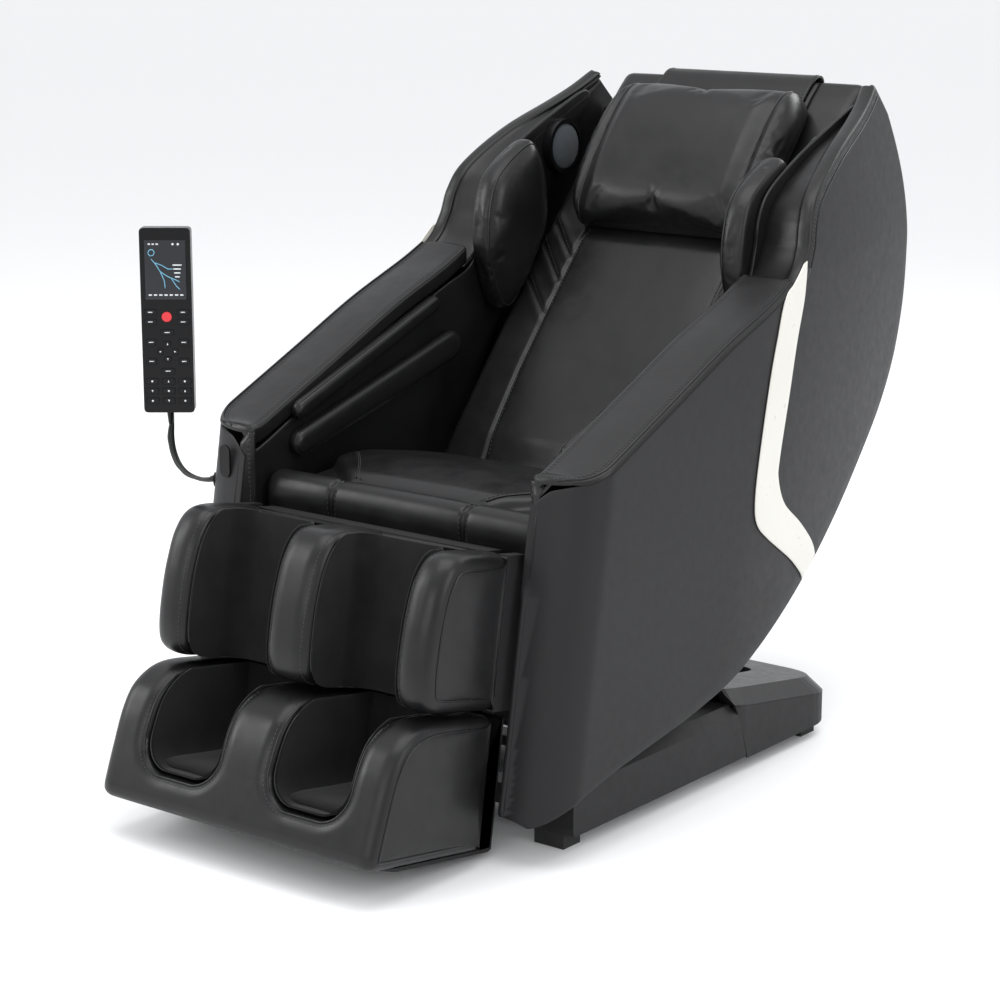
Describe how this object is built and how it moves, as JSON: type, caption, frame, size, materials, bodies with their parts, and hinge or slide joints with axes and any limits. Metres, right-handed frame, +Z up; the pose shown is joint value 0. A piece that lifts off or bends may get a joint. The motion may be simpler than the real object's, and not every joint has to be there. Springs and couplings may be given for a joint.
{
  "type": "massage chair",
  "caption": "Reclining massage chair with wrap-around side shells, lifting leg rest with calf and foot wells, sliding base and wired handset.",
  "frame": {"origin": "on the floor, on the chair's centre plane, in the middle of the four floor bolt holes", "axes": "+X across the chair towards the sitter's left hand, -Y towards the sitter's front, +Z up"},
  "size_m": [0.8548, 1.3439, 1.031],
  "materials": {
    "steel": "satin",
    "bright_steel": "satin",
    "leather": "satin",
    "shell": "matt",
    "base_plastic": "matt",
    "cap_plastic": "satin",
    "light_trim": "satin",
    "feet_rubber": "matt",
    "wheel_rubber": "matt",
    "nylon": "satin",
    "black_plastic": "satin",
    "gloss_black": "gloss",
    "red_key": "satin",
    "key_rubber": "satin",
    "cord_rubber": "satin",
    "lining": "soft nap",
    "mesh": "woven"
  },
  "bodies": {
    "base": {"base_frame": "steel", "base_feet": "feet_rubber", "base_side_cover_left": "base_plastic", "base_side_cover_right": "base_plastic", "base_rear_ring": "base_plastic", "base_ring_cap": "cap_plastic", "slide_rails": "bright_steel", "mains_inlet": "black_plastic"},
    "carriage": {"carriage_frame": "steel", "glide_blocks": "nylon", "recline_shaft": "bright_steel"},
    "rocker": {"seat_frame": "steel", "back_frame": "steel", "side_shell_left": "shell", "side_shell_right": "shell", "accent_strip_left": "light_trim", "accent_strip_right": "light_trim", "armrest_pad_left": "leather", "armrest_pad_right": "leather", "side_liner_left": "leather", "side_liner_right": "leather", "arm_air_pads_left": "leather", "arm_air_pads_right": "leather", "shoulder_wing_left": "leather", "shoulder_wing_right": "leather", "speaker_left": "gloss_black", "speaker_right": "gloss_black", "seat_pad": "leather", "seat_front_skirt": "leather", "back_pad": "leather", "neck_pillow": "leather", "pillow_strap": "leather", "back_rear_cover": "shell", "control_box": "black_plastic", "usb_port": "gloss_black", "handset_stand": "black_plastic", "handset_body": "gloss_black", "handset_cord": "cord_rubber", "massage_rails": "bright_steel", "leg_actuator_tube": "black_plastic"},
    "recline_cylinder": {"recline_actuator_tube": "black_plastic"},
    "recline_rod": {"recline_actuator_rod": "bright_steel"},
    "legrest": {"calf_frame": "steel", "calf_housing": "base_plastic", "calf_bolsters": "leather"},
    "leg_rod": {"leg_actuator_rod": "bright_steel"},
    "footrest": {"foot_frame": "steel", "foot_guide_rods": "bright_steel", "foot_tray": "base_plastic", "foot_bolsters": "leather"},
    "foot_roller_left": {"foot_roller_left": "nylon"},
    "foot_roller_right": {"foot_roller_right": "nylon"},
    "massage_carriage": {"massage_carriage": "bright_steel"},
    "massage_rollers": {"massage_rollers": "nylon"},
    "power_switch": {"power_switch": "black_plastic"},
    "transport_wheel_left": {"transport_wheel_left": "wheel_rubber"},
    "transport_wheel_right": {"transport_wheel_right": "wheel_rubber"},
    "handset_power_button": {"handset_power_button": "red_key"},
    "handset_menu_keys": {"handset_menu_keys": "key_rubber"},
    "handset_keypad": {"handset_keypad": "key_rubber"}
  },
  "joints": [
    {"name": "recline", "type": "hinge", "parent": "carriage", "child": "rocker", "pos_m": [0, -0.11, 0.22], "axis": [-1, 0, 0], "range_deg": [0, 25]},
    {"name": "space_slide", "type": "slide", "parent": "base", "child": "carriage", "axis": [0, -1, 0], "range_m": [0, 0.12]},
    {"name": "recline_swing", "type": "hinge", "parent": "carriage", "child": "recline_cylinder", "pos_m": [0.075, -0.235, 0.135], "axis": [-1, 0, 0], "range_deg": [0, 15.2]},
    {"name": "recline_stroke", "type": "slide", "parent": "recline_cylinder", "child": "recline_rod", "axis": [0, -0.073, 0.9973], "range_m": [0, 0.053]},
    {"name": "legrest_lift", "type": "hinge", "parent": "rocker", "child": "legrest", "pos_m": [0, -0.392, 0.398], "axis": [-1, 0, 0], "range_deg": [0, 75]},
    {"name": "leg_stroke", "type": "slide", "parent": "rocker", "child": "leg_rod", "axis": [0, -1, 0], "range_m": [0, 0.0735]},
    {"name": "footrest_extend", "type": "slide", "parent": "legrest", "child": "footrest", "axis": [0, -0.1564, -0.9877], "range_m": [0, 0.12], "stiffness_N_per_m": 400, "springref_m": -0.3},
    {"name": "foot_roller_left_spin", "type": "hinge", "parent": "footrest", "child": "foot_roller_left", "pos_m": [-0.12, -0.55821, 0.05174], "axis": [1, 0, 0], "continuous": true},
    {"name": "foot_roller_right_spin", "type": "hinge", "parent": "footrest", "child": "foot_roller_right", "pos_m": [0.12, -0.55821, 0.05174], "axis": [1, 0, 0], "continuous": true},
    {"name": "massage_travel", "type": "slide", "parent": "rocker", "child": "massage_carriage", "axis": [0, 0.6468, 0.7627], "range_m": [0, 0.4]},
    {"name": "knead_spin", "type": "hinge", "parent": "massage_carriage", "child": "massage_rollers", "pos_m": [0, 0.20693, 0.45425], "axis": [1, 0, 0], "continuous": true},
    {"name": "power_switch_rock", "type": "hinge", "parent": "base", "child": "power_switch", "pos_m": [-0.132, 0.364, 0.041], "axis": [1, 0, 0], "range_deg": [-8, 0]},
    {"name": "transport_wheel_left_spin", "type": "hinge", "parent": "base", "child": "transport_wheel_left", "pos_m": [-0.216, 0.359, 0.022], "axis": [1, 0, 0], "continuous": true},
    {"name": "transport_wheel_right_spin", "type": "hinge", "parent": "base", "child": "transport_wheel_right", "pos_m": [0.216, 0.359, 0.022], "axis": [1, 0, 0], "continuous": true},
    {"name": "power_button_press", "type": "slide", "parent": "rocker", "child": "handset_power_button", "axis": [-0.6157, 0.788, 0], "range_m": [0, 0.0008], "stiffness_N_per_m": 800, "springref_m": -0.0004},
    {"name": "menu_keys_press", "type": "slide", "parent": "rocker", "child": "handset_menu_keys", "axis": [-0.6157, 0.788, 0], "range_m": [0, 0.0008], "stiffness_N_per_m": 800, "springref_m": -0.0004},
    {"name": "keypad_press", "type": "slide", "parent": "rocker", "child": "handset_keypad", "axis": [-0.6157, 0.788, 0], "range_m": [0, 0.0008], "stiffness_N_per_m": 800, "springref_m": -0.0004}
  ],
  "couplings": [
    {"joint": "space_slide", "follows": "recline", "m_per_rad": 0.275},
    {"joint": "recline_swing", "follows": "recline", "ratio": 0.604},
    {"joint": "recline_stroke", "follows": "recline", "m_per_rad": 0.1196},
    {"joint": "leg_stroke", "follows": "legrest_lift", "m_per_rad": 0.0558},
    {"joint": "foot_roller_right_spin", "follows": "foot_roller_left_spin", "ratio": 1}
  ]
}
